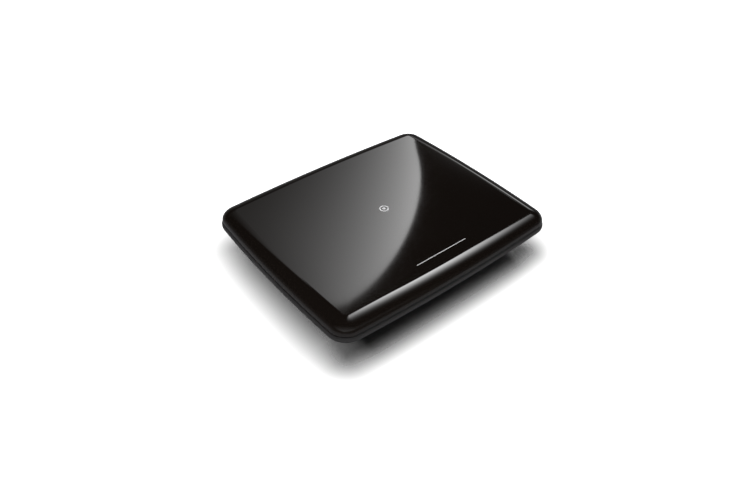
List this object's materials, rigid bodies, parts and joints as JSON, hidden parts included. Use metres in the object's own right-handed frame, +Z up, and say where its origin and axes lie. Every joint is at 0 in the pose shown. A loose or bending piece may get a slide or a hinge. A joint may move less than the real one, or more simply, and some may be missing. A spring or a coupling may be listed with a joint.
{
  "type": "portable disc player",
  "caption": "Closed clamshell portable disc player: pillow-shaped screen lid over an undercut base with a disc drive.",
  "frame": {"origin": "centre of the overall box, on the plane that the rubber feet stand on", "axes": "+X along the hinge to the side with the sockets, +Y to the hinge, +Z up through the lid"},
  "size_m": [0.19, 0.1604, 0.0363],
  "materials": {
    "gloss_shell": "high gloss",
    "satin_shell": "satin",
    "matte_trim": "matte",
    "rubber": "matte",
    "screen_glass": "gloss",
    "circuit_board": "satin",
    "battery_wrap": "satin",
    "steel": "satin",
    "key_silver": "satin"
  },
  "bodies": {
    "base": {"lower_case": "satin_shell", "upper_case": "satin_shell", "disc_well": "satin_shell", "drive_chassis": "steel", "rubber_damper_1": "rubber", "rubber_damper_2": "rubber", "rubber_damper_3": "rubber", "spindle_motor": "steel", "front_guide_rod": "steel", "rear_guide_rod": "steel", "sled_motor": "steel", "main_board": "circuit_board", "battery_pack": "battery_wrap", "socket_board": "circuit_board", "key_board": "circuit_board", "key_mat": "rubber", "side_panel": "matte_trim", "headphone_socket": "satin_shell", "video_socket": "satin_shell", "data_socket": "steel", "power_socket": "satin_shell", "rubber_foot_1": "rubber", "rubber_foot_2": "rubber", "rubber_foot_3": "rubber", "rubber_foot_4": "rubber", "case_screw_1": "steel", "case_screw_2": "steel", "case_screw_3": "steel", "case_screw_4": "steel", "remote_window": "screen_glass", "left_hinge_pin": "steel", "right_hinge_pin": "steel", "door_hinge_pin": "steel"},
    "screen_lid": {"lid_cover": "gloss_shell", "screen_bezel": "satin_shell", "lcd_panel": "screen_glass", "display_board": "circuit_board", "left_speaker": "matte_trim", "right_speaker": "matte_trim", "left_bumper": "rubber", "right_bumper": "rubber"},
    "door": {"disc_door": "gloss_shell"},
    "spindle": {"turntable": "satin_shell"},
    "sled": {"laser_pickup": "satin_shell", "pickup_lens": "screen_glass"},
    "sled_screw": {"lead_screw": "steel"},
    "slider": {"power_slider": "matte_trim"},
    "wheel": {"volume_wheel": "matte_trim"},
    "key_1_body": {"key_1": "key_silver"},
    "key_2_body": {"key_2": "key_silver"},
    "key_3_body": {"key_3": "key_silver"},
    "key_4_body": {"key_4": "key_silver"},
    "key_5_body": {"key_5": "key_silver"},
    "key_6_body": {"key_6": "key_silver"},
    "cursor_pad_body": {"cursor_pad": "key_silver"},
    "enter_key_body": {"enter_key": "key_silver"},
    "door_button_body": {"door_button": "satin_shell"}
  },
  "joints": [
    {"name": "screen_hinge", "type": "hinge", "parent": "base", "child": "screen_lid", "pos_m": [0, 0.0771, 0.0266], "axis": [-1, 0, 0], "range_deg": [0, 150]},
    {"name": "door_hinge", "type": "hinge", "parent": "base", "child": "door", "pos_m": [-0.019, 0.0648, 0.0247], "axis": [-1, 0, 0], "range_deg": [0, 65]},
    {"name": "disc_spin", "type": "hinge", "parent": "base", "child": "spindle", "pos_m": [-0.019, -0.003, 0.02], "axis": [0, 0, 1], "continuous": true},
    {"name": "sled_travel", "type": "slide", "parent": "base", "child": "sled", "axis": [1, 0, 0], "range_m": [0, 0.033]},
    {"name": "lead_screw_turn", "type": "hinge", "parent": "base", "child": "sled_screw", "pos_m": [0.02, 0.0275, 0.0135], "axis": [1, 0, 0], "range_deg": [0, 3960]},
    {"name": "power_switch", "type": "slide", "parent": "base", "child": "slider", "axis": [0, 1, 0], "range_m": [0, 0.004]},
    {"name": "volume_turn", "type": "hinge", "parent": "base", "child": "wheel", "pos_m": [0.0782, 0.014, 0.0156], "axis": [0, 0, 1], "range_deg": [0, 300]},
    {"name": "key_1_press", "type": "slide", "parent": "base", "child": "key_1_body", "axis": [0, 0, -1], "range_m": [0, 0.0008], "stiffness_N_per_m": 800, "springref_m": -0.0005},
    {"name": "key_2_press", "type": "slide", "parent": "base", "child": "key_2_body", "axis": [0, 0, -1], "range_m": [0, 0.0008], "stiffness_N_per_m": 800, "springref_m": -0.0005},
    {"name": "key_3_press", "type": "slide", "parent": "base", "child": "key_3_body", "axis": [0, 0, -1], "range_m": [0, 0.0008], "stiffness_N_per_m": 800, "springref_m": -0.0005},
    {"name": "key_4_press", "type": "slide", "parent": "base", "child": "key_4_body", "axis": [0, 0, -1], "range_m": [0, 0.0008], "stiffness_N_per_m": 800, "springref_m": -0.0005},
    {"name": "key_5_press", "type": "slide", "parent": "base", "child": "key_5_body", "axis": [0, 0, -1], "range_m": [0, 0.0008], "stiffness_N_per_m": 800, "springref_m": -0.0005},
    {"name": "key_6_press", "type": "slide", "parent": "base", "child": "key_6_body", "axis": [0, 0, -1], "range_m": [0, 0.0008], "stiffness_N_per_m": 800, "springref_m": -0.0005},
    {"name": "enter_key_press", "type": "slide", "parent": "base", "child": "enter_key_body", "axis": [0, 0, -1], "range_m": [0, 0.0008], "stiffness_N_per_m": 800, "springref_m": -0.0005},
    {"name": "door_button_press", "type": "slide", "parent": "base", "child": "door_button_body", "axis": [0, 0, -1], "range_m": [0, 0.0008], "stiffness_N_per_m": 800, "springref_m": -0.0005},
    {"name": "cursor_pad_press", "type": "slide", "parent": "base", "child": "cursor_pad_body", "axis": [0, 0, -1], "range_m": [0, 0.0005], "stiffness_N_per_m": 1200, "springref_m": -0.0005}
  ],
  "couplings": [
    {"joint": "door_hinge", "follows": "screen_hinge", "ratio": 0.43333},
    {"joint": "lead_screw_turn", "follows": "sled_travel", "rad_per_m": 2094}
  ]
}
